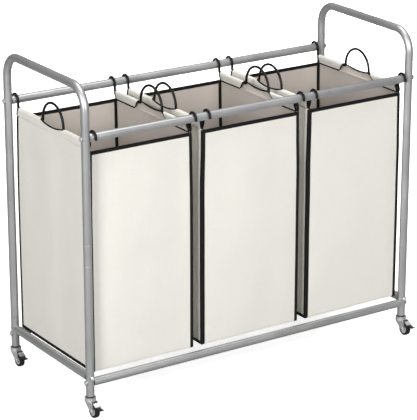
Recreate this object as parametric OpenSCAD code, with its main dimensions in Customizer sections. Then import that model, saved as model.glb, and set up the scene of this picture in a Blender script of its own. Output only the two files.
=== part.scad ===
// Rolling laundry sorter: a bolted tube frame on four locking swivel
// casters, carrying three lift-off canvas bags that hang from wire rods.
// The origin is on the floor under the middle of the frame.
// +X is to the right, +Y to the back, +Z up. Millimetres.

/* [Frame] */
// Distance between the leg centres, left to right
leg_span_x = 880; // [840:1:960]
// Distance between the leg centres, front to back
leg_span_y = 348; // [340:1:380]
// Height of the centre line of the two push handles
handle_z = 758; // [740:1:850]
// Bend radius of the push handles, on the centre line
handle_bend_r = 50; // [40:1:70]
// Height of the two top rails that the bags hang from
top_rail_z = 647.5; // [640:0.5:670]
// Height of the front and back bottom rails
bottom_rail_z = 78.5; // [76:0.5:85]
// How much higher the side rails are bolted than the bottom rails
side_rail_rise = 12; // [12:0.5:20]
// Height of the open bottom end of each leg
leg_bottom_z = 47; // [47:1:52]
// Height of the joint between a handle tube and its lower legs
splice_z = 381.5; // [300:0.5:450]

/* [Tube] */
// Outside diameter of the frame tube
tube_d = 19; // [18:0.5:20]
// Wall of the frame tube
tube_wall = 1.2; // [1:0.1:1.5]
// Length of the necked end that goes up into the handle tube
splice_depth = 30; // [20:1:40]
// Distance from the splice to each rolled crimp ring
crimp_offset = 25; // [15:1:28]

/* [Fasteners] */
// Diameter of the frame bolts
bolt_d = 6; // [5:0.5:6]
// Diameter of a bolt head
bolt_head_d = 10; // [9:0.5:11]
// Height of a bolt head
bolt_head_h = 3.2; // [3:0.1:4]
// Length of the threaded insert in each rail end
insert_len = 18; // [14:1:24]

/* [Bags] */
// Width of each bag, left to right
bag_w = 268; // [255:1:270]
// Depth of each bag, front to back
bag_d = 324.4; // [310:0.1:324.4]
// Distance between the centres of neighbouring bags
bag_pitch = 293; // [290:0.5:295]
// Height of the bottom of the bags
bag_bottom_z = 95; // [92:1:200]
// Height of the bound front and back edges of a bag
bag_edge_z = 610; // [600:1:612]
// Thickness of the bag cloth with its backing
cloth_t = 1.5; // [1:0.1:2]

/* [Bag rods] */
// Diameter of the bag wire
wire_d = 6; // [5:0.5:6]
// Height of the straight part of a rod
rod_z = 629.5; // [628:0.5:631]
// Radius of the hand hold arch, on the wire's centre line
arch_r = 46; // [40:1:50]
// Bend radius of the wire's corners, on its centre line
wire_bend_r = 5; // [5:0.5:6]
// Gap between a hook and the rail that it sits on
hook_gap = 0.5; // [0.4:0.1:1]

/* [Casters] */
// Diameter of a caster wheel over its tyre
wheel_d = 32; // [30:1:32]
// Width of a caster tyre
tyre_w = 12; // [10:0.5:12]
// Distance from the swivel axis back to the axle
trail = 16.7; // [15:0.1:18]
// Height of the underside of the fork's crown
crown_z = 35; // [35:0.1:35.2]
// Diameter of the swivel bearing
bearing_d = 26; // [24:0.5:26]

/* [Hidden] */
$fn = 72;

CORNERS = ["front_left", "front_right", "back_left", "back_right"];
SIDES = [-1, 1];

// Frame
leg_x = leg_span_x / 2;
leg_y = leg_span_y / 2;
side_rail_z = bottom_rail_z + side_rail_rise;
tube_r = tube_d / 2;
tube_bore_d = tube_d - 2 * tube_wall;
saddle_gap = 0.1;        // between a saddle-cut rail end and its leg
rail_setback = 7.6;      // blunt tip of the saddle, from the leg's centre
insert_setback = 11;     // face of the insert, from the leg's centre
fit = 0.05;              // radial clearance of a close fit
neck_d = tube_bore_d - 4 * fit;
crimp_r = 1.6;           // radius of the crimping roller
crimp_depth = 0.35;
seam_gap = 0.3;          // open line between handle tube and lower leg
bolt_hole_d = bolt_d + 0.4;
insert_bite = 15;        // how far a bolt reaches into its insert
washer_t = 1.6;
washer_d = bolt_head_d + 2;
bolt_len = washer_t + tube_r + insert_setback + insert_bite;
dome_r = 9;              // crown of a bolt head
hex_af = 4;              // across the flats of the hex socket
corner_xy = [[-leg_x, -leg_y], [leg_x, -leg_y], [-leg_x, leg_y], [leg_x, leg_y]];

// Casters
wheel_r = wheel_d / 2;
hub_r = wheel_r - 5;
hub_w = tyre_w + 1.6;
axle_d = 4;
stem_d = 8;
king_pin_d = 6;
plate_t = 1.5;
fork_gap = hub_w + 0.8;
bearing_gap = 0.3;
crown_top_z = crown_z + 1.6;
ball_d = 2.6;
ball_count = 10;
ball_ring_r = 8.1;
race_z = crown_top_z + ball_d + 2 * bearing_gap;    // underside of the fixed race
cap_z = race_z + 2.1;                              // underside of the dust cap
cap_t = 1.5;
rim_t = 1.5;
socket_flange_t = 3;
socket_top_z = 74;
brake_y = -16;
brake_z = 34.6;
brake_pin_d = 3;
brake_plate_t = 1.2;
pedal_w = 10;

// Bags and rods
sleeve_r = wire_d / 2 + 1;
rod_inset = 6;           // from the outside of the side panel to its rod
sleeve_half = bag_d / 2 - 6.7;
notch_half = arch_r + wire_bend_r + 1;
flap_z = 612;            // lower edge of the inner flap
hook_r = tube_r + hook_gap + wire_d / 2;
hook_tip = 4;            // straight end of the hook below the rail's centre

// Frame ---------------------------------------------------------------

module at_leg_tops() for (s = SIDES) translate([0, s * leg_y, 0]) children();

// Solid U of one handle tube, at diameter d, in the plane x = 0
module handle_path(d) {
    straight_top_z = handle_z - handle_bend_r;
    at_leg_tops() translate([0, 0, splice_z])
        cylinder(h = straight_top_z - splice_z, d = d);
    for (flip = [0, 1]) mirror([0, flip, 0])
        translate([0, leg_y - handle_bend_r, straight_top_z]) rotate([90, 0, 90])
            rotate_extrude(angle = 90) translate([handle_bend_r, 0]) circle(d = d);
    translate([0, handle_bend_r - leg_y, handle_z]) rotate([-90, 0, 0])
        cylinder(h = 2 * (leg_y - handle_bend_r), d = d);
}

module crimp_ring() {
    rotate_extrude() translate([tube_r + crimp_r - crimp_depth, 0]) circle(r = crimp_r);
}

module handle_tube(x) {
    color("silver") translate([x, 0, 0]) difference() {
        handle_path(tube_d);
        handle_path(tube_bore_d);
        at_leg_tops() {
            translate([0, 0, splice_z + crimp_offset]) crimp_ring();
            translate([-tube_d, 0, top_rail_z]) rotate([0, 90, 0])
                cylinder(h = 2 * tube_d, d = bolt_hole_d);
        }
    }
}

// Lower leg: full tube up to the splice, then a neck that goes up inside
module lower_leg(p) {
    shoulder = splice_z - seam_gap;
    color("silver") translate([p[0], p[1], 0]) difference() {
        union() {
            translate([0, 0, leg_bottom_z]) cylinder(h = shoulder - leg_bottom_z, d = tube_d);
            translate([0, 0, shoulder - 1]) cylinder(h = splice_depth + 1, d = neck_d);
        }
        translate([0, 0, leg_bottom_z - 1])
            cylinder(h = shoulder - leg_bottom_z - 5, d = tube_bore_d);
        translate([0, 0, leg_bottom_z])
            cylinder(h = shoulder - leg_bottom_z + splice_depth + 1, d = neck_d - 2 * tube_wall);
        translate([0, 0, splice_z - crimp_offset]) crimp_ring();
        translate([-tube_d, 0, bottom_rail_z]) rotate([0, 90, 0])
            cylinder(h = 2 * tube_d, d = bolt_hole_d);
        translate([0, -tube_d, side_rail_z]) rotate([-90, 0, 0])
            cylinder(h = 2 * tube_d, d = bolt_hole_d);
    }
}

// Tube along +Z, its two ends saddle-cut to lie against legs `span` apart
module saddled_tube(span) {
    length = span - 2 * rail_setback;
    difference() {
        translate([0, 0, -length / 2]) cylinder(h = length, d = tube_d);
        translate([0, 0, -length / 2 - 1]) cylinder(h = length + 2, d = tube_bore_d);
        for (s = SIDES) translate([-tube_d, 0, s * span / 2]) rotate([0, 90, 0])
            cylinder(h = 2 * tube_d, d = tube_d + 2 * saddle_gap);
    }
}

module long_rail(y, z) {
    color("silver") translate([0, y, z]) rotate([0, 90, 0]) saddled_tube(leg_span_x);
}

module side_rail(x) {
    color("silver") translate([x, 0, side_rail_z]) rotate([0, 90, 90])
        saddled_tube(leg_span_y);
}

// Puts children at every rail end, their +Z axis pointing out of the leg
module at_long_rail_ends()
    for (x = SIDES, y = SIDES, z = [bottom_rail_z, top_rail_z])
        translate([x * leg_x, y * leg_y, z]) rotate([0, x * 90, 0]) children();

module at_side_rail_ends()
    for (x = SIDES, y = SIDES)
        translate([x * leg_x, y * leg_y, side_rail_z]) rotate([-y * 90, 0, 0]) children();

module insert() {
    translate([0, 0, -insert_setback - insert_len]) difference() {
        cylinder(h = insert_len, d = tube_bore_d - 2 * fit);
        translate([0, 0, -1]) cylinder(h = insert_len + 2, d = bolt_d + 2 * fit);
    }
}

module rail_end_inserts() {
    color("dimgray") {
        at_long_rail_ends() insert();
        at_side_rail_ends() insert();
    }
}

// Washer hollowed underneath to sit on the round leg; leg_turn puts the
// hollow along the leg
module saddle_washer(leg_turn) {
    difference() {
        cylinder(h = tube_r + washer_t, d = washer_d);
        rotate([0, 0, leg_turn]) translate([0, -tube_d, 0]) rotate([-90, 0, 0])
            cylinder(h = 2 * tube_d, d = tube_d + 2 * saddle_gap);
        translate([0, 0, -1]) cylinder(h = tube_r + washer_t + 2, d = bolt_hole_d);
    }
}

module saddle_washers() {
    color("gray") {
        at_long_rail_ends() saddle_washer(90);
        at_side_rail_ends() saddle_washer(0);
    }
}

module frame_bolt() {
    translate([0, 0, tube_r + washer_t]) difference() {
        union() {
            intersection() {
                cylinder(h = bolt_head_h, d = bolt_head_d);
                translate([0, 0, bolt_head_h - dome_r]) sphere(r = dome_r);
            }
            translate([0, 0, -bolt_len]) cylinder(h = bolt_len + 1, d = bolt_d);
        }
        translate([0, 0, 1.2]) cylinder(h = bolt_head_h, d = hex_af / cos(30), $fn = 6);
    }
}

module rail_bolts() { color("gray") at_long_rail_ends() frame_bolt(); }
module side_rail_bolts() { color("gainsboro") at_side_rail_ends() frame_bolt(); }

// Caster parts fixed in the legs ---------------------------------------

module at_corners() for (p = corner_xy) translate([p[0], p[1], 0]) children();

module caster_sockets() {
    color("black") at_corners() difference() {
        union() {
            translate([0, 0, leg_bottom_z - socket_flange_t])
                cylinder(h = socket_flange_t, d = tube_d);
            translate([0, 0, leg_bottom_z - 0.5])
                cylinder(h = socket_top_z - leg_bottom_z + 0.5, d = tube_bore_d - 4 * fit);
        }
        translate([0, 0, leg_bottom_z - 5])
            cylinder(h = socket_top_z - leg_bottom_z + 3, d = stem_d + 2 * fit);
    }
}

// Stem, dust cap, upper race and the king pin that the fork turns on
module caster_stems() {
    collar_top_z = leg_bottom_z - socket_flange_t;
    color("silver") at_corners() {
        translate([0, 0, cap_z]) cylinder(h = socket_top_z - 3 - cap_z, d = stem_d);
        translate([0, 0, cap_z + cap_t - 0.1])
            cylinder(h = collar_top_z - cap_z - cap_t + 0.1, d = 14);
        translate([0, 0, cap_z]) cylinder(h = cap_t, d = bearing_d);
        translate([0, 0, race_z])
            cylinder(h = cap_z - race_z + 0.5, d = bearing_d - 2 * rim_t - 2 * bearing_gap);
        translate([0, 0, crown_z - 1])
            cylinder(h = race_z - crown_z + 1.5, d = king_pin_d);
        translate([0, 0, crown_z - bearing_gap - 1.5]) cylinder(h = 1.5, d = 9);
    }
}

// Caster parts that swivel. Local origin: on the floor, on the swivel axis

// One cheek of the fork, seen from the side, with +X as the sorter's +Y
module fork_cheek_outline() {
    polygon([[11, crown_top_z], [brake_y, crown_top_z], [-21, 32.5],
             [-trail - 5.5, wheel_r], [-trail + 4.6, wheel_r - 3], [8.5, 29]]);
    translate([-trail, wheel_r]) circle(r = 5.5);
    translate([brake_y, brake_z]) circle(r = 3.6);
}

module fork() {
    color("silver") difference() {
        union() {
            translate([0, 0, crown_z]) cylinder(h = crown_top_z - crown_z, d = bearing_d);
            translate([0, 0, crown_z])
                cylinder(h = cap_z - bearing_gap - crown_z, d = bearing_d);
            for (s = SIDES) translate([s * (fork_gap + plate_t) / 2 - plate_t / 2, 0, 0])
                rotate([90, 0, 90]) linear_extrude(plate_t) fork_cheek_outline();
        }
        translate([0, 0, crown_top_z])
            cylinder(h = bearing_d, d = bearing_d - 2 * rim_t);
        translate([0, 0, crown_z - 1]) cylinder(h = 4, d = king_pin_d + 2 * fit);
        translate([-bearing_d, -trail, wheel_r]) rotate([0, 90, 0])
            cylinder(h = 2 * bearing_d, d = axle_d + 2 * fit);
        translate([-bearing_d, brake_y, brake_z]) rotate([0, 90, 0])
            cylinder(h = 2 * bearing_d, d = brake_pin_d + 2 * fit);
    }
}

module bearing_balls() {
    color("lightgray") for (i = [0 : ball_count - 1])
        rotate([0, 0, i * 360 / ball_count])
            translate([ball_ring_r, 0, crown_top_z + bearing_gap + ball_d / 2])
                sphere(d = ball_d);
}

module rivet(d, head_d, head_t) {
    half = fork_gap / 2 + plate_t + head_t;
    rotate([0, 90, 0]) {
        translate([0, 0, -half]) cylinder(h = 2 * half, d = d);
        for (s = SIDES) translate([0, 0, s * (half - head_t / 2) - head_t / 2])
            cylinder(h = head_t, d = head_d);
    }
}

module caster_pins() {
    color("gray") {
        translate([0, -trail, wheel_r]) rivet(axle_d, 7.5, 1.2);
        translate([0, brake_y, brake_z]) rivet(brake_pin_d, 4.6, 0.8);
    }
}

module wheel_hub() {
    color("lightgray") translate([0, -trail, wheel_r]) rotate([0, 90, 0]) difference() {
        union() {
            translate([0, 0, -tyre_w / 2 + 1]) cylinder(h = tyre_w - 2, r = hub_r);
            translate([0, 0, -hub_w / 2]) cylinder(h = hub_w, r = 4);
        }
        for (s = [0, 1]) mirror([0, 0, s]) translate([0, 0, 2.5]) difference() {
            cylinder(h = tyre_w, r = hub_r - 1.5);
            translate([0, 0, -1]) cylinder(h = tyre_w + 2, r = 4);
        }
        translate([0, 0, -hub_w]) cylinder(h = 2 * hub_w, d = axle_d + 2 * fit);
    }
}

// Section of the tyre: a band with two rounded outer corners
module tyre_section() {
    edge_r = 2;
    translate([hub_r + fit, -tyre_w / 2])
        square([wheel_r - edge_r - hub_r - fit, tyre_w]);
    translate([hub_r + fit, edge_r - tyre_w / 2])
        square([wheel_r - hub_r - fit, tyre_w - 2 * edge_r]);
    for (s = SIDES) translate([wheel_r - edge_r, s * (tyre_w / 2 - edge_r)])
        circle(r = edge_r);
}

module tyre() {
    color("black") translate([0, -trail, wheel_r]) rotate([0, 90, 0])
        rotate_extrude() tyre_section();
}

// Brake lever of black plastic: barrel on its pin, then over and down the
// front of the wheel to a narrow toe tab with a turned-up tip
module lever_outline() {
    polygon([[brake_y, brake_z + 2.2], [-20.5, brake_z + 2.2], [-29.6, 31.2], [-33.5, 29.6],
             [-47.5, 27.6], [-51, 30.2], [-51.6, 29.4], [-48, 25.9], [-33, 27.6],
             [-29, 28.9], [-20.2, brake_z - 0.2], [brake_y, brake_z - 0.2]]);
}

module pedal() {
    barrel_w = fork_gap - 0.8;
    color("black") difference() {
        union() {
            translate([-barrel_w / 2, brake_y, brake_z]) rotate([0, 90, 0])
                cylinder(h = barrel_w, r = 2.2);
            translate([-barrel_w / 2, 0, 0]) rotate([90, 0, 90])
                linear_extrude(barrel_w) lever_outline();
        }
        for (s = SIDES) translate([s * (pedal_w + barrel_w) / 2 - barrel_w / 2, -60, 20])
            cube([barrel_w, 26.5, 20]);
        translate([-bearing_d, brake_y, brake_z]) rotate([0, 90, 0])
            cylinder(h = 2 * bearing_d, d = brake_pin_d + 2 * fit);
    }
}

// Bent steel plate on the face of the lever, over the wheel
module brake_plate() {
    t = brake_plate_t;
    w = fork_gap - 0.8;
    slope = (brake_z + 2.2 - 31.2) / (29.6 - 20.5);
    top_y = -23;
    top_z = brake_z + 2.2 - slope * (-20.5 - top_y) + fit;
    color("silver") translate([-w / 2, 0, 0]) rotate([90, 0, 90]) linear_extrude(w)
        polygon([[top_y, top_z], [-29.6, 31.2 + fit], [-33.3, 29.68 + fit],
                 [-33.3, 29.68 + fit + t], [-29.9, 31.2 + fit + t], [top_y, top_z + t]]);
}

// Bags ------------------------------------------------------------------

// Canvas bag: front, bottom and back are one strip, the side panels lean
// in above the strip's edge and fold over into sleeves for the rods
module bag(x) {
    wall = bag_w / 2;
    rod_x = wall - rod_inset;
    lean = (rod_inset - sleeve_r) / (rod_z - bag_edge_z);
    flap_wall = wall - lean * (flap_z - bag_edge_z);
    color("ivory") translate([x, 0, 0]) difference() {
        union() {
            translate([-wall, -bag_d / 2, bag_bottom_z]) difference() {
                cube([bag_w, bag_d, bag_edge_z - bag_bottom_z]);
                translate([cloth_t, cloth_t, cloth_t])
                    cube([bag_w - 2 * cloth_t, bag_d - 2 * cloth_t, bag_edge_z]);
            }
            for (flip = [0, 1]) mirror([flip, 0, 0]) {
                translate([0, sleeve_half, 0]) rotate([90, 0, 0])
                    linear_extrude(2 * sleeve_half)
                        polygon([[wall - cloth_t, bag_edge_z - 1], [wall, bag_edge_z - 1],
                                 [wall, bag_edge_z], [rod_x + sleeve_r, rod_z],
                                 [rod_x + sleeve_r - cloth_t, rod_z],
                                 [wall - cloth_t, bag_edge_z]]);
                for (back = [0, 1]) mirror([0, back, 0]) {
                    translate([0, sleeve_half, 0]) rotate([90, 0, 0])
                        linear_extrude(sleeve_half - notch_half)
                            polygon([[rod_x - sleeve_r, flap_z], [flap_wall, flap_z],
                                     [rod_x + sleeve_r, rod_z], [rod_x - sleeve_r, rod_z]]);
                    translate([rod_x, notch_half, rod_z]) rotate([-90, 0, 0])
                        cylinder(h = sleeve_half - notch_half, r = sleeve_r);
                }
            }
        }
        for (flip = [0, 1]) mirror([flip, 0, 0])
            translate([rod_x, -bag_d, rod_z]) rotate([-90, 0, 0])
                cylinder(h = 2 * bag_d, d = wire_d + 0.4);
    }
}

// Wire from the foot of the hand hold to one hook, in the plane x = 0
module rod_end() {
    low_bend_z = rod_z + wire_bend_r;
    hook_y = leg_y - hook_r;
    translate([0, arch_r + wire_bend_r, low_bend_z]) rotate([90, 0, 90])
        rotate([0, 0, 180]) rotate_extrude(angle = 90)
            translate([wire_bend_r, 0]) circle(d = wire_d);
    translate([0, arch_r + wire_bend_r, rod_z]) rotate([-90, 0, 0])
        cylinder(h = hook_y - arch_r - 2 * wire_bend_r, d = wire_d);
    translate([0, hook_y - wire_bend_r, low_bend_z]) rotate([90, 0, 90])
        rotate([0, 0, 270]) rotate_extrude(angle = 90)
            translate([wire_bend_r, 0]) circle(d = wire_d);
    translate([0, hook_y, low_bend_z]) cylinder(h = top_rail_z - low_bend_z, d = wire_d);
    translate([0, leg_y, top_rail_z]) rotate([90, 0, 90])
        rotate_extrude(angle = 180) translate([hook_r, 0]) circle(d = wire_d);
    translate([0, leg_y + hook_r, top_rail_z - hook_tip]) cylinder(h = hook_tip, d = wire_d);
}

// Rod on side s (-1 left, 1 right) of the bag centred on x
module bag_rod(x, s) {
    color("black") translate([x + s * (bag_w / 2 - rod_inset), 0, 0]) {
        translate([0, 0, rod_z + wire_bend_r]) rotate([90, 0, 90])
            rotate_extrude(angle = 180) translate([arch_r, 0]) circle(d = wire_d);
        for (flip = [0, 1]) mirror([0, flip, 0]) rod_end();
    }
}

// Assembly ---------------------------------------------------------------

handle_tube(-leg_x);  // left_handle_tube
handle_tube(leg_x);  // right_handle_tube
long_rail(-leg_y, top_rail_z);  // top_front_rail
long_rail(leg_y, top_rail_z);  // top_back_rail
long_rail(-leg_y, bottom_rail_z);  // bottom_front_rail
long_rail(leg_y, bottom_rail_z);  // bottom_back_rail
side_rail(-leg_x);  // left_side_rail
side_rail(leg_x);  // right_side_rail
rail_end_inserts();
saddle_washers();
rail_bolts();
side_rail_bolts();
caster_sockets();
caster_stems();
for (i = [0 : 3]) {
    corner = CORNERS[i];
    place = corner_xy[i];
    lower_leg(place);
    translate([place[0], place[1], 0]) {
        fork();
        bearing_balls();
        caster_pins();
        wheel_hub();
        tyre();
        brake_plate();
        pedal();
    }
}
bag(-bag_pitch);  // left_bag
bag(0);  // middle_bag
bag(bag_pitch);  // right_bag
bag_rod(-bag_pitch, -1);  // left_bag_left_rod
bag_rod(-bag_pitch, 1);  // left_bag_right_rod
bag_rod(0, -1);  // middle_bag_left_rod
bag_rod(0, 1);  // middle_bag_right_rod
bag_rod(bag_pitch, -1);  // right_bag_left_rod
bag_rod(bag_pitch, 1);  // right_bag_right_rod
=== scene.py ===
import math

import bmesh
import bpy
import numpy as np
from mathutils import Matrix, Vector, noise


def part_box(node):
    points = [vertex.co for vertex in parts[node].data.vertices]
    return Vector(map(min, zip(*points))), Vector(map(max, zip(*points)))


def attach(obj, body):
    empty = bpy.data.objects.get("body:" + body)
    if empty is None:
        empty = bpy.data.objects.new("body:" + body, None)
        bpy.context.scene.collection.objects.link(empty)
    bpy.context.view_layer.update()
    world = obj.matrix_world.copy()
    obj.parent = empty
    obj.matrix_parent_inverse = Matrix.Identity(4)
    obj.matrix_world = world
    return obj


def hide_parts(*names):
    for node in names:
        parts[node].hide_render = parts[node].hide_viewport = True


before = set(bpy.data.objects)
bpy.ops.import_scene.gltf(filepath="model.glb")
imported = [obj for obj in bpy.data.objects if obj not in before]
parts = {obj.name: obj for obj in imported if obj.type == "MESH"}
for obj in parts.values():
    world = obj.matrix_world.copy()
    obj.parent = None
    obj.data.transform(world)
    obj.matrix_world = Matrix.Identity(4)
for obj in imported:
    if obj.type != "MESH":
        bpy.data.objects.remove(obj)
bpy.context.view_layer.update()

CORNERS = ("front_left", "front_right", "back_left", "back_right")
BAGS = ("left_bag", "middle_bag", "right_bag")


# --- Camera -----------------------------------------------------------------
# A long lens from the front left corner, a little above the push handles, so
# that the two ends of the frame stay close to the same size.

camera = bpy.data.objects.new("camera", bpy.data.cameras.new("camera"))
bpy.context.scene.collection.objects.link(camera)
camera.location = (-2.6447, -4.0012, 2.0165)
camera.rotation_euler = (math.radians(90 - 19.15), 0, math.radians(-33.372))
camera.data.lens = 184.5
camera.data.sensor_width = 36
camera.data.clip_end = 60
bpy.context.scene.camera = camera


# --- Frame tube ---------------------------------------------------------------
# Two bent push handles, four lower legs and six rails, all 19 mm steel tube.
# They are powder coated in silver grey: a fine orange peel, tiny bright flakes,
# and a few dull scuffs where the tubes are handled.

def wire_in(tree, socket, value):
    """Joins a socket to another one, or sets it to a plain value."""
    if isinstance(value, bpy.types.NodeSocket):
        tree.links.new(value, socket)
    else:
        socket.default_value = value


def add(tree, kind, *inputs, out=0, **settings):
    """Places a shader node, wires its inputs in order, and gives one output."""
    node = tree.nodes.new("ShaderNode" + kind)
    named = settings.pop("named", {})
    for key, value in settings.items():
        setattr(node, key, value)
    for socket, value in zip(node.inputs, inputs):
        if value is not None:
            wire_in(tree, socket, value)
    for key, value in named.items():
        wire_in(tree, node.inputs[key], value)
    return node.outputs[out]


def maths(tree, operation, *inputs):
    return add(tree, "Math", *inputs, operation=operation)


def spread(tree, value, low, high, to_low=0.0, to_high=1.0):
    """Stretches a value from one range to another, and holds it there."""
    return add(tree, "MapRange", value, low, high, to_low, to_high)


def blend_colour(tree, share, first, second):
    mix = tree.nodes.new("ShaderNodeMix")
    mix.data_type = "RGBA"
    wire_in(tree, mix.inputs[0], share)
    wire_in(tree, mix.inputs[6], first)
    wire_in(tree, mix.inputs[7], second)
    return mix.outputs[2]


def cloudy(tree, where, scale, detail=2.0, out=0):
    return add(tree, "TexNoise", out=out,
               named={"Vector": where, "Scale": scale, "Detail": detail})


def effect(name, inputs, outputs):
    """Starts a node group with named inputs and outputs."""
    tree = bpy.data.node_groups.new(name, "ShaderNodeTree")
    kinds = {"v": "NodeSocketVector", "f": "NodeSocketFloat", "c": "NodeSocketColor"}
    for socket, kind in inputs:
        tree.interface.new_socket(socket, in_out="INPUT", socket_type=kinds[kind])
    for socket, kind in outputs:
        tree.interface.new_socket(socket, in_out="OUTPUT", socket_type=kinds[kind])
    given = tree.nodes.new("NodeGroupInput").outputs
    result = tree.nodes.new("NodeGroupOutput").inputs
    return tree, given, result


def use(tree, group, **inputs):
    """Places a group in a material and gives its outputs."""
    node = tree.nodes.new("ShaderNodeGroup")
    node.node_tree = group
    for key, value in inputs.items():
        wire_in(tree, node.inputs[key.replace("_", " ")], value)
    return node.outputs


def material(name, colour, roughness, metallic=0.0, **plain):
    """An empty material with its shader, and the object's own coordinates."""
    made = bpy.data.materials.new(name)
    made.use_nodes = True
    tree = made.node_tree
    shader = tree.nodes["Principled BSDF"]
    shader.inputs["Base Color"].default_value = (*colour, 1)
    shader.inputs["Roughness"].default_value = roughness
    shader.inputs["Metallic"].default_value = metallic
    for key, value in plain.items():
        shader.inputs[key.replace("_", " ")].default_value = value
    where = tree.nodes.new("ShaderNodeTexCoord").outputs
    return made, tree, shader.inputs, where["Object"]


def bump(tree, height, depth, strength=1.0):
    return add(tree, "Bump", named={"Height": height, "Distance": depth, "Strength": strength})


def dress(names, finish):
    for name in names:
        for slot in parts[name].material_slots:
            slot.material = finish


# Sprayed coat: orange peel height, sparkle of the flakes, slow change of shade
coat_grain, given, result = effect(
    "coat_grain", [("Where", "v"), ("Peel Size", "f"), ("Flake Size", "f")],
    [("Height", "f"), ("Flakes", "f"), ("Shade", "f")])
peel_scale = maths(coat_grain, "DIVIDE", 1.0, given["Peel Size"])
flake_scale = maths(coat_grain, "DIVIDE", 1.0, given["Flake Size"])
wire_in(coat_grain, result["Height"], cloudy(coat_grain, given["Where"], peel_scale, 1.0))
flakes = add(coat_grain, "TexVoronoi", named={"Vector": given["Where"], "Scale": flake_scale})
wire_in(coat_grain, result["Flakes"], spread(coat_grain, flakes, 0.0, 0.45, 1.0, 0.0))
wire_in(coat_grain, result["Shade"], cloudy(coat_grain, given["Where"], 14.0, 3.0))

# Scuffs: thin broken patches where things rub along the surface
scuffs, given, result = effect(
    "scuffs", [("Where", "v"), ("Size", "f"), ("Amount", "f")], [("Mask", "f")])
scuff_scale = maths(scuffs, "DIVIDE", 1.0, given["Size"])
patches = cloudy(scuffs, given["Where"], maths(scuffs, "MULTIPLY", scuff_scale, 0.12), 3.0)
scratches = cloudy(scuffs, given["Where"], scuff_scale, 4.0)
edge = maths(scuffs, "SUBTRACT", 0.80, maths(scuffs, "MULTIPLY", given["Amount"], 0.3))
both = maths(scuffs, "ADD", maths(scuffs, "MULTIPLY", patches, 0.6),
             maths(scuffs, "MULTIPLY", scratches, 0.55))
soft_edge = maths(scuffs, "ADD", edge, 0.06)
wire_in(scuffs, result["Mask"], spread(scuffs, both, edge, soft_edge))

# Dust that settles on what faces up
dust, given, result = effect("dust", [("Where", "v"), ("Amount", "f")], [("Mask", "f")])
facing = add(dust, "SeparateXYZ", add(dust, "NewGeometry", out=1), out=2)
settled = maths(dust, "MULTIPLY", spread(dust, facing, 0.35, 1.0),
                spread(dust, cloudy(dust, given["Where"], 60.0, 4.0), 0.35, 0.7))
wire_in(dust, result["Mask"], maths(dust, "MULTIPLY", settled, given["Amount"]))

silver_coat, tree, shader, where = material("silver_coat", (0.48, 0.485, 0.49), 0.40, 0.72)
grain = use(tree, coat_grain, Where=where, Peel_Size=0.0016, Flake_Size=0.00022)
worn = use(tree, scuffs, Where=where, Size=0.004, Amount=0.35)["Mask"]
dusty = use(tree, dust, Where=where, Amount=0.10)["Mask"]
shade = blend_colour(tree, spread(tree, grain["Shade"], 0.35, 0.65),
                     (0.46, 0.465, 0.472, 1), (0.52, 0.525, 0.53, 1))
shade = blend_colour(tree, maths(tree, "MULTIPLY", grain["Flakes"], 0.22), shade,
                     (0.62, 0.625, 0.63, 1))
shade = blend_colour(tree, maths(tree, "MULTIPLY", worn, 0.5), shade, (0.29, 0.29, 0.29, 1))
shade = blend_colour(tree, dusty, shade, (0.48, 0.47, 0.45, 1))
wire_in(tree, shader["Base Color"], shade)
wire_in(tree, shader["Roughness"], maths(tree, "ADD", spread(tree, grain["Shade"], 0.3, 0.7, 0.36, 0.44),
                                         maths(tree, "MULTIPLY", worn, 0.12)))
wire_in(tree, shader["Normal"], bump(tree, grain["Height"], 0.00012, 0.6))
dress(["left_handle_tube", "right_handle_tube", "top_front_rail", "top_back_rail",
       "bottom_front_rail", "bottom_back_rail", "left_side_rail", "right_side_rail"]
      + [c + "_lower_leg" for c in CORNERS], silver_coat)


# --- Inserts, washers and bolts ---------------------------------------------
# Nylon inserts pressed into the rail ends, and zinc plated bolts with domed
# heads and hexagon sockets, each on a saddle washer that fits the round leg.

def plastic(name, colour, roughness, grit, worn_colour):
    """Moulded plastic: spark-eroded grain, rubbed paler in places, some dust."""
    made, tree, shader, where = material(name, colour, roughness)
    grain = cloudy(tree, where, 1 / grit, 3.0)
    worn = use(tree, scuffs, Where=where, Size=0.0016, Amount=0.5)["Mask"]
    dusty = use(tree, dust, Where=where, Amount=0.10)["Mask"]
    tone = blend_colour(tree, spread(tree, cloudy(tree, where, 90.0), 0.3, 0.7),
                        (*[c * 0.85 for c in colour], 1), (*[c * 1.2 for c in colour], 1))
    tone = blend_colour(tree, maths(tree, "MULTIPLY", worn, 0.55), tone, (*worn_colour, 1))
    tone = blend_colour(tree, dusty, tone, (0.35, 0.34, 0.32, 1))
    wire_in(tree, shader["Base Color"], tone)
    wire_in(tree, shader["Roughness"], spread(tree, grain, 0.3, 0.7, roughness - 0.07, roughness + 0.09))
    wire_in(tree, shader["Normal"], bump(tree, grain, 0.00005, 0.7))
    return made


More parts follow.
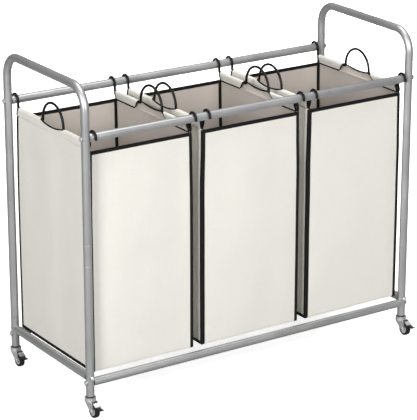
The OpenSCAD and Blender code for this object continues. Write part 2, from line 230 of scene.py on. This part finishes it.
def plated(name, colour, roughness, cell, streak=1.0):
    """Zinc plate: faint crystals, rolling streaks, dull rubbed patches."""
    made, tree, shader, where = material(name, colour, roughness, 0.85)
    crystals = add(tree, "TexVoronoi", out=1, named={"Vector": where, "Scale": 1 / cell})
    crystals = add(tree, "SeparateXYZ", crystals)
    long_way = add(tree, "VectorMath", where, (1.0, streak, 1.0), operation="MULTIPLY")
    rolled = cloudy(tree, long_way, 900.0, 3.0)
    worn = use(tree, scuffs, Where=where, Size=0.0014, Amount=0.6)["Mask"]
    tone = blend_colour(tree, crystals, (*[c * 0.86 for c in colour], 1), (*colour, 1))
    tone = blend_colour(tree, maths(tree, "MULTIPLY", worn, 0.5), tone,
                        (*[c * 0.55 for c in colour], 1))
    wire_in(tree, shader["Base Color"], tone)
    rough = maths(tree, "ADD", spread(tree, rolled, 0.3, 0.7, roughness - 0.06, roughness + 0.08),
                  maths(tree, "MULTIPLY", worn, 0.18))
    wire_in(tree, shader["Roughness"], rough)
    wire_in(tree, shader["Normal"], bump(tree, rolled, 0.00003, 0.5))
    return made


nylon = plastic("black_nylon", (0.022, 0.022, 0.023), 0.48, 0.0004, (0.09, 0.09, 0.09))
bolt_zinc = plated("bolt_zinc", (0.88, 0.88, 0.87), 0.42, 0.0012)
washer_zinc = plated("washer_zinc", (0.52, 0.52, 0.52), 0.36, 0.0010)
dress(["rail_end_inserts"], nylon)
dress(["saddle_washers"], washer_zinc)
dress(["rail_bolts", "side_rail_bolts"], bolt_zinc)


# --- Casters ------------------------------------------------------------------
# Small swivel casters in plastic sockets: pressed zinc plated fork, steel balls,
# grey nylon hub, black rubber tyre, and a black lever with a zinc plate over it
# that is pushed down on the wheel.

def rubber():
    """Tyre rubber: faint moulding grain, and grey floor dust on the tread."""
    made, tree, shader, where = material("tyre_rubber", (0.012, 0.012, 0.012), 0.68, Specular_IOR_Level=0.3)
    grain = cloudy(tree, where, 2600.0, 3.0)
    blotches = spread(tree, cloudy(tree, where, 160.0, 5.0), 0.42, 0.66)
    tone = blend_colour(tree, maths(tree, "MULTIPLY", blotches, 0.30),
                        (0.010, 0.010, 0.010, 1), (0.06, 0.058, 0.054, 1))
    wire_in(tree, shader["Base Color"], tone)
    wire_in(tree, shader["Roughness"], spread(tree, grain, 0.3, 0.7, 0.58, 0.78))
    wire_in(tree, shader["Normal"], bump(tree, grain, 0.00006, 0.6))
    return made


caster_zinc = plated("caster_zinc", (0.93, 0.93, 0.92), 0.44, 0.0016, 0.2)
polished, tree, shader, where = material("polished_balls", (0.78, 0.78, 0.78), 0.08, 1.0)
grease = spread(tree, cloudy(tree, where, 700.0), 0.45, 0.6)
wire_in(tree, shader["Base Color"], blend_colour(tree, grease, (0.8, 0.8, 0.8, 1), (0.5, 0.42, 0.28, 1)))
wire_in(tree, shader["Roughness"], spread(tree, grease, 0, 1, 0.06, 0.22))
socket_black = plastic("socket_black", (0.008, 0.008, 0.009), 0.42, 0.0005, (0.05, 0.05, 0.05))
hub_grey = plastic("hub_grey", (0.66, 0.66, 0.65), 0.45, 0.0005, (0.48, 0.47, 0.45))
pedal_black = plastic("pedal_black", (0.008, 0.008, 0.009), 0.50, 0.0004, (0.06, 0.06, 0.06))
tyre_rubber = rubber()
dress(["caster_sockets"], socket_black)
dress(["caster_stems"], caster_zinc)
for corner in CORNERS:
    dress([corner + "_fork", corner + "_brake_plate"], caster_zinc)
    dress([corner + "_pins"], bolt_zinc)
    dress([corner + "_balls"], polished)
    dress([corner + "_hub"], hub_grey)
    dress([corner + "_tyre"], tyre_rubber)
    dress([corner + "_pedal"], pedal_black)


# --- Bag rods -----------------------------------------------------------------
# Two 6 mm steel wires to a bag, bent into a half-round hand hold and two hooks,
# and dipped in gloss black. The coat is rubbed where the hooks sit on the rail.

black_dip, tree, shader, where = material("black_dip", (0.004, 0.004, 0.004), 0.38,
                                          Specular_IOR_Level=0.25)
grain = use(tree, coat_grain, Where=where, Peel_Size=0.0022, Flake_Size=0.0006)
worn = use(tree, scuffs, Where=where, Size=0.002, Amount=0.45)["Mask"]
tone = blend_colour(tree, maths(tree, "MULTIPLY", worn, 0.6), (0.005, 0.005, 0.005, 1),
                    (0.05, 0.05, 0.05, 1))
wire_in(tree, shader["Base Color"], tone)
wire_in(tree, shader["Roughness"], spread(tree, grain["Shade"], 0.3, 0.7, 0.32, 0.46))
wire_in(tree, shader["Normal"], bump(tree, grain["Height"], 0.00015, 0.5))
dress([f"{bag}_{side}_rod" for bag in BAGS for side in ("left", "right")], black_dip)


# --- Bag canvas ---------------------------------------------------------------
# Each bag is sewn from three cuts of cream canvas with a coated back, whose
# darker colour is partly painted shade of the bag's inside: a strip that runs
# down the front, under the bottom and up the back, and two side panels that
# fold over the rods into sleeves. It hangs slack under its own weight.

weave, given, result = effect(
    "weave", [("Cloth", "v"), ("Pitch", "f")], [("Height", "f"), ("Slubs", "f")])
drift = add(weave, "VectorMath", cloudy(weave, given["Cloth"], 160.0, 2.0, out=1),
            (0.0006, 0.0006, 0.0), operation="MULTIPLY")
laid = add(weave, "VectorMath", given["Cloth"], drift, operation="ADD")
threads = add(weave, "VectorMath", laid, operation="SCALE",
              named={"Scale": maths(weave, "DIVIDE", math.pi, given["Pitch"])})
across = maths(weave, "SINE", add(weave, "SeparateXYZ", threads, out=0))
along = maths(weave, "SINE", add(weave, "SeparateXYZ", threads, out=1))
on_top = spread(weave, maths(weave, "MULTIPLY", across, along), -0.05, 0.05)
warp = maths(weave, "MULTIPLY", maths(weave, "ABSOLUTE", across), on_top)
weft = maths(weave, "MULTIPLY", maths(weave, "ABSOLUTE", along),
             maths(weave, "SUBTRACT", 1.0, on_top))
wire_in(weave, result["Height"], maths(weave, "ADD", warp, weft))
thin_one = add(weave, "VectorMath", laid, (1400.0, 22.0, 0.0), operation="MULTIPLY")
thin_two = add(weave, "VectorMath", laid, (22.0, 1400.0, 0.0), operation="MULTIPLY")
wire_in(weave, result["Slubs"], maths(weave, "MULTIPLY", 0.5, maths(
    weave, "ADD", cloudy(weave, thin_one, 1.0), cloudy(weave, thin_two, 1.0))))


def cloth(name, pale, dark, pitch, depth, roughness, sheen):
    """Woven cloth: thread relief, uneven yarn, faint marks from handling, and painted shade in the hollows
    between threads.
    """
    made, tree, shader, where = material(name, pale, roughness, Sheen_Weight=sheen,
                                         Sheen_Roughness=0.5)
    layout = tree.nodes.new("ShaderNodeUVMap").outputs[0]
    woven = use(tree, weave, Cloth=layout, Pitch=pitch)
    tone = blend_colour(tree, spread(tree, woven["Slubs"], 0.36, 0.64), (*dark, 1), (*pale, 1))
    marks = spread(tree, cloudy(tree, where, 7.0, 4.0), 0.50, 0.75, 0.0, 0.30)
    tone = blend_colour(tree, marks, tone, (*[c * 0.93 for c in dark], 1))
    # painted shade: the low hollows of the weave between threads are coloured darker
    thread_gap_shade = spread(tree, woven["Height"], 0.0, 0.5, 0.22, 0.0)
    tone = blend_colour(tree, thread_gap_shade, tone, (*[c * 0.62 for c in dark], 1))
    wire_in(tree, shader["Base Color"], tone)
    wire_in(tree, shader["Roughness"],
            spread(tree, woven["Height"], 0, 1, roughness + 0.06, roughness - 0.05))
    wire_in(tree, shader["Normal"], bump(tree, woven["Height"], depth, 0.8))
    return made


canvas = cloth("cream_canvas", (0.86, 0.835, 0.775), (0.81, 0.785, 0.725), 0.00062, 0.00016, 0.84, 0.15)
# painted shade: the coated back is a darker copy of the canvas, coloured for the shade inside the bags
canvas_back_painted_shade = cloth("coated_back_painted_shade", (0.615, 0.557, 0.507), (0.57, 0.517, 0.467), 0.00062, 0.00007,
                    0.62, 0.05)

low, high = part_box("middle_bag")
half_wide = (high[0] - low[0]) / 2
half_deep = (high[1] - low[1]) / 2
bottom_z = low[2]
edge_z = bottom_z + 0.515            # bound front and back edges
rod_low, rod_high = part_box("middle_bag_right_rod")
rod_x = (rod_low[0] + rod_high[0]) / 2
rod_z = rod_low[2] + 0.0030
corner_r = 0.0025                    # where the strip turns under the bag
canvas_t = 0.0010
sleeve_r = 0.0040                    # outside of a sleeve, from the rod's centre
sleeve_end = 0.1575                  # where the hooks bend up out of the sleeves
flap_z = edge_z + 0.0005             # lower edge of a sleeve's inner flap
hold_cut = 0.0045                    # how far the hand hold's cut starts up the sleeve
hold_half = 0.050                    # half the hand hold's width at the rod
hold_sag = 0.0065                    # how far the hand hold's lower edge dips
cut_flare = 0.023                    # how much wider the cut-out is at the flap's edge
sewn_up = 0.0008                     # the sleeve's row of stitches, above the flap's edge
row_x_pull = 0.0034                  # how far that row draws the outer cloth in
row_reach = 0.0016                   # and how far up and down it is felt
sleeve_slack = 0.0017                # how far the loose sleeve stands off the rod
flap_in = 2 * sleeve_r - 0.0019      # how far the inner flap hangs back to the outer cloth
face_belly, side_belly = 0.0042, 0.0030    # bulge of the faces and of the side panels
face_fold, side_fold, small_fold = 0.0030, 0.0032, 0.0008
seam_drift = 0.0007                  # slow wander of the corner seams
top_taper = 0.0024                   # how far the top draws in towards the rods
floor_sag = 0.0050                   # sag of the bottom


def hang(points, centre_x, seed):
    """Lets a bag's cloth go from its flat cut shape to how it hangs."""
    p = np.array(points, dtype=float)
    u = (p[:, 0] - centre_x) / half_wide
    v = p[:, 1] / half_deep
    up = np.clip((p[:, 2] - bottom_z) / (edge_z - bottom_z), 0, 1)
    off_sides = np.clip(1 - u * u, 0, 1)
    off_faces = np.clip(1 - v * v, 0, 1)
    belly = np.sin(np.pi * up ** 0.75)
    fold = np.array([[noise.noise(Vector((7.5 * a + seed, 2.6 * b + 3 * seed, 2.2 * c))),
                      noise.noise(Vector((2.2 * a + 5, 8.5 * b + seed, 2.0 * c + seed))),
                      noise.noise(Vector((19 * a + seed, 17 * b, 9 * c + 7))),
                      noise.noise(Vector((3.0, seed, 9 * c)))]
                     for a, b, c in p])
    calm = np.clip((edge_z + 0.002 - p[:, 2]) / 0.05, 0, 1) * np.clip((p[:, 2] - bottom_z) / 0.04, 0, 1)
    wide_pull = np.clip(off_sides * 2.5, 0, 1) * calm
    deep_pull = np.clip(off_faces * 2.5, 0, 1) * calm
    out_y = np.sign(v) * np.abs(v) ** 3
    out_x = np.sign(u) * np.abs(u) ** 3
    moved = p.copy()
    moved[:, 1] += out_y * (off_sides * face_belly * belly
                            + wide_pull * (face_fold * fold[:, 0] + small_fold * fold[:, 2]))
    moved[:, 0] += out_x * (off_faces * side_belly * belly
                            + deep_pull * (side_fold * fold[:, 1] + small_fold * fold[:, 2]))
    moved[:, 0] += seam_drift * fold[:, 3] * out_x * calm
    moved[:, 0] -= (u * top_taper * np.clip((p[:, 2] - edge_z + 0.13) / 0.13, 0, 1)
                    * np.clip((rod_z - p[:, 2]) / (rod_z - edge_z), 0, 1))
    moved[:, 2] -= floor_sag * off_sides * off_faces * (1 - up) ** 8
    moved[:, 1] -= out_y * 0.0010 * off_sides * up ** 8 * (p[:, 2] < edge_z + 0.002)
    return moved


def side_cloth(side, y, s):
    """A point of a side panel's cut, s metres above the front edge's height."""
    y, s = np.broadcast_arrays(np.asarray(y, float), np.asarray(s, float))
    rise = rod_z - edge_z
    turn = np.clip((s - rise) / sleeve_r, 0, math.pi)
    fall = np.clip((s - rise - math.pi * sleeve_r) / (rod_z - flap_z), 0, 1)
    lean = np.clip(s / rise, 0, 1)
    loose = np.sin(np.pi * np.clip((s - ROW) / (rise - ROW + 0.0035), 0, 1) ** 0.7)
    drawn = np.exp(-((s - ROW) / row_reach) ** 2)
    wall = (half_wide + (rod_x + sleeve_r - half_wide) * lean
            + sleeve_slack * loose - row_x_pull * drawn)
    x = np.where(s <= rise, wall, rod_x + sleeve_r * np.cos(turn))
    x = x + np.where(s > rise, sleeve_slack * loose * np.clip(np.cos(turn), 0, 1), 0)
    x = x + np.where(fall > 0, flap_in * fall * fall * (3 - 2 * fall), 0)
    z = np.where(s <= rise, edge_z + s, rod_z + sleeve_r * np.sin(turn))
    z = z - fall * (rod_z - flap_z)
    return np.stack([side * x, y, z], axis=-1)


# Heights up a side panel's cut, from the front edge: the stitches, the flap's edge
ROW = flap_z + sewn_up - edge_z
FLAP = (rod_z - edge_z) + math.pi * sleeve_r + (rod_z - flap_z)


def cut_y(s):
    """How far from the middle the sleeve starts, beside the hand hold."""
    start = rod_z - edge_z + hold_cut
    return hold_half + cut_flare * np.clip((s - start) / (FLAP - start), 0, 1) ** 1.3


def end_y(s):
    """How far from the middle a side panel ends, drawn in along the sleeves."""
    rise = rod_z - edge_z
    return half_deep + (sleeve_end - half_deep) * np.clip((s + 0.004) / (rise + 0.004), 0, 1)


def hold_level(y):
    """Height of the hand hold's lower edge, which sags between the sleeves."""
    sag = np.clip(1 - (y / hold_half) ** 2, 0, 1)
    return rod_z - edge_z + hold_cut - hold_sag * sag


def finish_mesh(mesh, name, *finishes):
    """Turns a mesh into a piece in the scene, with its materials."""
    data = bpy.data.meshes.new(name)
    mesh.to_mesh(data)
    mesh.free()
    for finish in finishes:
        data.materials.append(finish)
    piece = bpy.data.objects.new(name, data)
    bpy.context.scene.collection.objects.link(piece)
    return piece


def sew(name, grids, centre_x, seed, outward):
    """Makes one panel from grids of points and their place in the flat cut."""
    mesh = bmesh.new()
    layout = mesh.loops.layers.uv.new("cut")
    for points, flat in grids:
        rows, columns = points.shape[:2]
        placed = points.reshape(-1, 3) + (centre_x, 0, 0)
        placed = hang(placed, centre_x, seed)
        verts = [mesh.verts.new(p) for p in placed]
        spots = flat.reshape(-1, 2)
        for r in range(rows - 1):
            for c in range(columns - 1):
                ring = [r * columns + c, r * columns + c + 1,
                        (r + 1) * columns + c + 1, (r + 1) * columns + c]
                face = mesh.faces.new([verts[i] for i in ring])
                face.smooth = True
                for loop, i in zip(face.loops, ring):
                    loop[layout].uv = spots[i]
    bmesh.ops.remove_doubles(mesh, verts=mesh.verts, dist=1e-6)
    mesh.normal_update()
    facing_out = sum(face.normal.dot(Vector(outward(face.calc_center_median()))) * face.calc_area()
                     for face in mesh.faces)
    if facing_out < 0:
        bmesh.ops.reverse_faces(mesh, faces=mesh.faces)
    return finish_mesh(mesh, name, canvas, canvas_back_painted_shade)


def thicken(piece, thickness):
    """Gives cloth its thickness, with the coated back, darker as painted shade, on the inside."""
    solid = piece.modifiers.new("cloth", "SOLIDIFY")
    solid.thickness = thickness
    solid.offset = -1
    solid.material_offset = 1
    solid.material_offset_rim = 0


# Down the front, round the bottom corners and up the back, seen from the side
arc = np.radians(np.linspace(0, 90, 7))
down = np.linspace(edge_z, bottom_z + corner_r, 92)
strip_y = np.concatenate([np.full(91, -half_deep), corner_r - half_deep - corner_r * np.cos(arc)])
strip_z = np.concatenate([down[:-1], bottom_z + corner_r - corner_r * np.sin(arc)])
under = np.linspace(corner_r - half_deep, half_deep - corner_r, 56)[1:-1]
strip_y = np.concatenate([strip_y, under, -strip_y[::-1]])
strip_z = np.concatenate([strip_z, np.full(54, bottom_z), strip_z[::-1]])
strip_run = np.concatenate([[0], np.cumsum(np.hypot(np.diff(strip_y), np.diff(strip_z)))])
strip_x = np.linspace(-half_wide, half_wide, 47)


def strip_grid():
    x = np.broadcast_to(strip_x[None, :], (len(strip_y), len(strip_x)))
    y = np.broadcast_to(strip_y[:, None], x.shape)
    z = np.broadcast_to(strip_z[:, None], x.shape)
    run = np.broadcast_to(strip_run[:, None], x.shape)
    return np.stack([x, y, z], -1), np.stack([x, run], -1)


def side_grids(side):
    """The panel up to the rods, then the two sleeves beside the hand hold."""
    rise = rod_z - edge_z
    foot = np.array([0, 0.0002, 0.0007, 0.0015, 0.0028, 0.005, 0.009])
    s = np.concatenate([foot + bottom_z - edge_z, np.linspace(0.0145 + bottom_z - edge_z, -0.0100, 88),
                        np.linspace(-0.0085, -0.0010, 6), np.linspace(-0.0005, 0.0035, 13),
                        np.linspace(0.0045, rise - 0.0045, 12)])
    middle = np.linspace(-hold_half, hold_half, 19)
    beside = np.linspace(hold_half, sleeve_end, 21)
    cut = np.concatenate([-beside[::-1], middle[1:-1], beside]) / sleeve_end
    height = s + edge_z - bottom_z
    wide = np.where(height < corner_r,
                    half_deep - corner_r + np.sqrt(np.clip(corner_r ** 2 - (corner_r - height) ** 2, 0, 1)),
                    half_deep)
    wide = wide + end_y(s) - half_deep
    y = cut[None, :] * wide[:, None]
    level = np.broadcast_to(s[:, None], y.shape)
    grids = [(side_cloth(side, y, level), np.stack([y, level], -1))]
    share = np.linspace(0, 1, 6)[:, None]
    y = np.broadcast_to(middle[None, :], (6, len(middle)))
    level = s[-1] * (1 - share) + hold_level(middle)[None, :] * share
    grids.append((side_cloth(side, y, level), np.stack([y, level], -1)))
    over = np.concatenate([np.linspace(s[-1], rise + hold_cut, 6),
                           np.linspace(rise + hold_cut, FLAP, 25)[1:]])
    share = np.linspace(0, 1, 21)[None, :]
    for end in (-1, 1):
        y = end * (cut_y(over)[:, None] * (1 - share) + end_y(over)[:, None] * share)
        level = np.broadcast_to(over[:, None], y.shape)
        grid = (side_cloth(side, y, level), np.stack([y, level], -1))
        grids.append(grid if end > 0 else tuple(part[:, ::-1] for part in grid))
    return grids


# --- Binding tape and stitching ---------------------------------------------
# Black woven tape is folded over every seam and edge and sewn down near its own
# edges. The sleeves are closed by one row of cream lockstitch.

stitch, given, result = effect(
    "stitch", [("Run", "v"), ("Inset", "f"), ("Length", "f")], [("Mask", "f"), ("Dip", "f")])
down_run = add(stitch, "SeparateXYZ", given["Run"], out=0)
from_edge = add(stitch, "SeparateXYZ", given["Run"], out=1)
off_line = maths(stitch, "ABSOLUTE", maths(stitch, "SUBTRACT", from_edge, given["Inset"]))
step = maths(stitch, "FRACT", maths(stitch, "DIVIDE", down_run, given["Length"]))
on_line = spread(stitch, off_line, 0.00018, 0.00034, 1.0, 0.0)
in_step = spread(stitch, maths(stitch, "ABSOLUTE", maths(stitch, "SUBTRACT", step, 0.5)),
                 0.34, 0.42, 1.0, 0.0)
wire_in(stitch, result["Mask"], maths(stitch, "MULTIPLY", on_line, in_step))
wire_in(stitch, result["Dip"], spread(stitch, off_line, 0.0002, 0.0009, 1.0, 0.0))

stitch_step = 0.0032
tape_black, tree, shader, where = material("black_tape", (0.006, 0.006, 0.006), 0.85,
                                           Specular_IOR_Level=0.22)
layout = tree.nodes.new("ShaderNodeUVMap").outputs[0]
woven = use(tree, weave, Cloth=layout, Pitch=0.0007)
sewn = use(tree, stitch, Run=layout, Inset=0.0014, Length=stitch_step)
tone = blend_colour(tree, woven["Slubs"], (0.004, 0.004, 0.004, 1), (0.011, 0.011, 0.010, 1))
tone = blend_colour(tree, maths(tree, "MULTIPLY", sewn["Mask"], 0.8), tone, (0.030, 0.030, 0.029, 1))
wire_in(tree, shader["Base Color"], tone)
wire_in(tree, shader["Roughness"], spread(tree, sewn["Mask"], 0, 1, 0.88, 0.55))
relief = maths(tree, "ADD", maths(tree, "MULTIPLY", woven["Height"], 0.35), maths(
    tree, "SUBTRACT", sewn["Mask"], maths(tree, "MULTIPLY", sewn["Dip"], 0.8)))
wire_in(tree, shader["Normal"], bump(tree, relief, 0.0003, 0.9))

thread_cream, tree, shader, where = material("cream_thread", (0.62, 0.59, 0.52), 0.6)
twist = add(tree, "TexWave", named={"Vector": where, "Scale": 700.0, "Distortion": 1.0})
wire_in(tree, shader["Base Color"], blend_colour(tree, twist, (0.55, 0.52, 0.46, 1), (0.68, 0.65, 0.58, 1)))
wire_in(tree, shader["Normal"], bump(tree, twist, 0.0001, 0.6))


def fold_tape(name, runs, centre_x, seed):
    """Sweeps folded tape along runs: (points, inward, across, section, width)."""
    mesh = bmesh.new()
    layout = mesh.loops.layers.uv.new("run")
    for points, inward, across, section, width in runs:
        count = len(points)
        places = []
        for a, b, from_edge in section:
            places.append(points + inward * (a * width)[:, None] + across * b)
        placed = np.stack(places, 1).reshape(-1, 3) + (centre_x, 0, 0)
        verts = [mesh.verts.new(p) for p in hang(placed, centre_x, seed)]
        run = np.concatenate([[0], np.cumsum(np.linalg.norm(np.diff(points, axis=0), axis=1))])
        n = len(section)
        for i in range(count - 1):
            for j in range(n):
                k = (j + 1) % n
                ring = [(i, j), (i, k), (i + 1, k), (i + 1, j)]
                face = mesh.faces.new([verts[r * n + c] for r, c in ring])
                face.smooth = True
                for loop, (r, c) in zip(face.loops, ring):
                    loop[layout].uv = (run[r], section[c][2])
        mesh.faces.new([verts[j] for j in range(n)][::-1])
        mesh.faces.new([verts[(count - 1) * n + j] for j in range(n)])
    mesh.normal_update()
    bmesh.ops.recalc_face_normals(mesh, faces=mesh.faces)
    return finish_mesh(mesh, name, tape_black)


MM = 0.001
front_tape = 0.0075                  # widths of tape that show on one face
end_tape, flap_tape, cut_tape, hold_tape = 0.0048, 0.0028, 0.0026, 0.0030
# Sections as (in from the edge, through the cloth, distance to the tape's own
# edge). The seam's two are round the outside of a corner and up its inside.
outer_fold = [(7.2, 0.2, 0), (7.2, -0.5, 0), (6.9, -0.75, 0.4), (1.0, -0.9, 6), (0.1, -0.9, 6.5),
              (-0.6, -0.6, 6), (-0.9, 0.1, 6), (-0.9, 1.0, 5.5), (-0.75, 6.9, 0.4), (-0.5, 7.2, 0),
              (0.2, 7.2, 0), (0.2, 0.2, 3)]
inner_fold = [(6.2, 0.9, 0), (6.2, 1.5, 0), (5.9, 1.8, 0.4), (2.3, 1.9, 5), (1.8, 2.4, 4.5),
              (1.7, 6.2, 0.4), (1.4, 6.5, 0), (0.8, 6.5, 0), (0.8, 0.9, 3)]
# Over a bare edge, for a tape one unit wide
edge_fold = [(1.0, 0.2, 0), (1.0, -0.4, 0), (0.95, -0.7, 0.4), (0.08, -0.8, 5), (-0.12, -0.5, 5.5),
             (-0.18, 0.5, 6), (-0.12, 1.5, 5.5), (0.08, 1.8, 5), (0.95, 1.7, 0.4), (1.0, 1.4, 0),
             (1.0, 0.8, 0), (0.1, 0.5, 3)]


def scaled(section, wide=1.0):
    return [(a * wide, b * MM, d * MM) for a, b, d in section]


def seam_runs(side):
    """Tape round the seam between the strip and one side panel."""
    points = np.stack([np.full(len(strip_y), side * half_wide), strip_y, strip_z], -1)
    step = np.gradient(np.stack([strip_y, strip_z], -1), axis=0)
    step /= np.linalg.norm(step, axis=1)[:, None]
    into_bag = np.stack([np.zeros(len(step)), -step[:, 1], step[:, 0]], -1)
    inward = np.tile([-side, 0.0, 0.0], (len(points), 1))
    one = np.ones(len(points))
    return [(points, inward, into_bag, scaled(outer_fold, MM), one),
            (points, inward, into_bag, scaled(inner_fold, MM), one)]


def top_runs():
    """Tape over the front and back edges, from seam to seam."""
    runs = []
    for face in (-1, 1):
        x = np.linspace(0.0006 - half_wide, half_wide - 0.0006, 60)
        points = np.stack([x, np.full(60, face * half_deep), np.full(60, edge_z + 0.0006)], -1)
        down = np.tile([0.0, 0.0, -1.0], (60, 1))
        into_bag = np.tile([0.0, -float(face), 0.0], (60, 1))
        runs.append((points, down, into_bag, scaled(edge_fold), np.full(60, front_tape)))
    return runs


def along_cloth(side, y, s, to_y, to_s, wide):
    """A run of edge tape on a side panel; to_y, to_s point into the cloth."""
    points = side_cloth(side, y, s)
    inward = side_cloth(side, y + to_y * 1e-4, s + to_s * 1e-4) - points
    inward /= np.linalg.norm(inward, axis=1)[:, None]
    step = np.gradient(points, axis=0)
    normal = np.cross(step, inward)
    normal /= np.linalg.norm(normal, axis=1)[:, None]
    away = side_cloth(side, y, s) - np.array([side * rod_x, 0, rod_z])
    away[:, 1] = 0
    low_down = s < rod_z - edge_z
    away[low_down] = (side, 0, 0)
    flip = np.sign((normal * away).sum(1))
    return points, inward, -normal * flip[:, None], scaled(edge_fold), wide


def top_edge_runs(side):
    """Tape round a side panel's ends, its flaps and the hand hold's cut-out."""
    rise = rod_z - edge_z
    runs = []
    for end in (-1, 1):
        s = np.concatenate([np.linspace(0.001, rise, 9), np.linspace(rise, FLAP, 30)[1:]])
        runs.append(along_cloth(side, end * end_y(s), s, -end, 0, np.full(len(s), end_tape)))
        y = end * np.linspace(cut_y(FLAP), sleeve_end, 24)
        runs.append(along_cloth(side, y, np.full(24, FLAP), 0, -1, np.full(24, flap_tape)))
        s = np.linspace(rise + hold_cut - 0.0004, FLAP, 28)
        runs.append(along_cloth(side, end * cut_y(s), s, end, 0, np.full(28, cut_tape)))
    y = np.linspace(-hold_half - 0.0005, hold_half + 0.0005, 40)
    runs.append(along_cloth(side, y, hold_level(y), 0, -1, np.full(40, hold_tape)))
    return runs


def stitches(name, rows, centre_x, seed):
    """Rows of short thread beads lying on the cloth: (points, outward)."""
    mesh = bmesh.new()
    rings = ((-1.25, 0.06), (-0.8, 0.24), (0.8, 0.24), (1.25, 0.06))
    for points, outward in rows:
        points = hang(points + (centre_x, 0, 0), centre_x, seed)
        steps = np.gradient(points, axis=0)
        for p, step, out in zip(points, steps, outward):
            step, out = Vector(step).normalized(), Vector(out)
            wide = step.cross(out)
            made = []
            for at, r in rings:
                middle = Vector(p) + step * (at * MM) + out * (0.10 * MM)
                made.append([mesh.verts.new(middle + (wide * math.cos(t) + out * math.sin(t)) * (r * MM))
                             for t in (k * math.pi / 3 for k in range(6))])
            for a, b in zip(made, made[1:]):
                for k in range(6):
                    face = mesh.faces.new((a[k], a[(k + 1) % 6], b[(k + 1) % 6], b[k]))
                    face.smooth = True
            mesh.faces.new(made[0][::-1])
            mesh.faces.new(made[-1])
    bmesh.ops.recalc_face_normals(mesh, faces=mesh.faces)
    return finish_mesh(mesh, name, thread_cream)


def sleeve_rows(side):
    """The row that closes the sleeves, seen outside and on the two flaps inside."""
    rows = []
    y = np.arange(-0.1500, 0.1501, stitch_step)
    rows.append((side_cloth(side, y, ROW), np.tile([float(side), 0, 0], (len(y), 1))))
    for end in (-1, 1):
        y = end * np.arange(0.0765, 0.1500, stitch_step)
        rows.append((side_cloth(side, y, FLAP - 0.0040), np.tile([-float(side), 0, 0], (len(y), 1))))
    return rows


for number, bag in enumerate(BAGS):
    low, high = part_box(bag)
    centre_x = (low[0] + high[0]) / 2
    seed = 11.3 * number + 2.1
    strip = sew(bag + "_strip", [strip_grid()], centre_x, seed,
                lambda c: (0, c.y, (c.z - 0.35) * 0.2))
    thicken(strip, canvas_t)
    for side, side_name in ((-1, "left"), (1, "right")):
        panel = sew(f"{bag}_{side_name}_panel", side_grids(side), centre_x, seed,
                    lambda c: (side if c.z < rod_z - 0.03 else 0, 0, 0))
        thicken(panel, canvas_t * 0.9)
        tape = fold_tape(f"{bag}_{side_name}_binding", seam_runs(side) + top_edge_runs(side),
                         centre_x, seed)
        sewing = stitches(f"{bag}_{side_name}_stitching", sleeve_rows(side), centre_x, seed)
        for piece, material_slot in ((panel, "canvas"), (tape, "binding"), (sewing, "canvas")):
            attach(piece, bag)
    top_tape = fold_tape(bag + "_top_binding", top_runs(), centre_x, seed)
    for piece, material_slot in ((strip, "canvas"), (top_tape, "binding")):
        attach(piece, bag)
    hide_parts(bag)


# --- Floor and studio light -----------------------------------------------
# A pale seamless floor, one large soft light in front, a smaller one from the
# left, a wide one overhead and a weak one behind.

floor_mesh = bmesh.new()
bmesh.ops.create_grid(floor_mesh, x_segments=8, y_segments=8, size=14)
floor_white, tree, shader, where = material("floor_white", (0.5, 0.5, 0.5), 0.85,
                                            Specular_IOR_Level=0.1)
paper = blend_colour(tree, cloudy(tree, where, 3.0), (0.26, 0.26, 0.26, 1), (0.30, 0.30, 0.30, 1))
seen = add(tree, "LightPath", out=0)
wire_in(tree, shader["Base Color"], blend_colour(tree, seen, paper, (0.93, 0.93, 0.93, 1)))
shader["Emission Color"].default_value = (1, 1, 1, 1)
wire_in(tree, shader["Emission Strength"], spread(tree, seen, 0, 1, 0.0, 0.62))
finish_mesh(floor_mesh, "floor", floor_white)

world = bpy.data.worlds.new("studio")
bpy.context.scene.world = world
world.use_nodes = True
sky = world.node_tree.nodes["Background"].inputs
sky["Color"].default_value = (1, 1, 1, 1)
seen = add(world.node_tree, "LightPath", out=0)
wire_in(world.node_tree, sky["Strength"], spread(world.node_tree, seen, 0, 1, 0.13, 1.0))


def soft_light(name, place, aim, size, power, shines=True):
    """An area light; one that doesn't shine stays out of the tubes' gloss."""
    light = bpy.data.lights.new(name, "AREA")
    light.shape = "RECTANGLE"
    light.size, light.size_y = size
    light.energy = power
    lamp = bpy.data.objects.new(name, light)
    lamp.location = place
    lamp.rotation_euler = (Vector(aim) - Vector(place)).to_track_quat("-Z", "Y").to_euler()
    lamp.visible_glossy = shines
    bpy.context.scene.collection.objects.link(lamp)


soft_light("front_light", (-0.4, -4.2, 2.2), (0, 0, 0.35), (2.2, 2.2), 128)
soft_light("left_light", (-3.4, -1.7, 1.7), (0, 0, 0.4), (1.0, 1.6), 104)
soft_light("top_light", (0.2, 0.0, 3.6), (0, 0, 0), (2.4, 2.4), 72)
soft_light("back_light", (2.9, 3.1, 1.2), (0, 0, 0.35), (1.8, 1.8), 160, shines=False)

bpy.context.scene.view_settings.view_transform = "Standard"
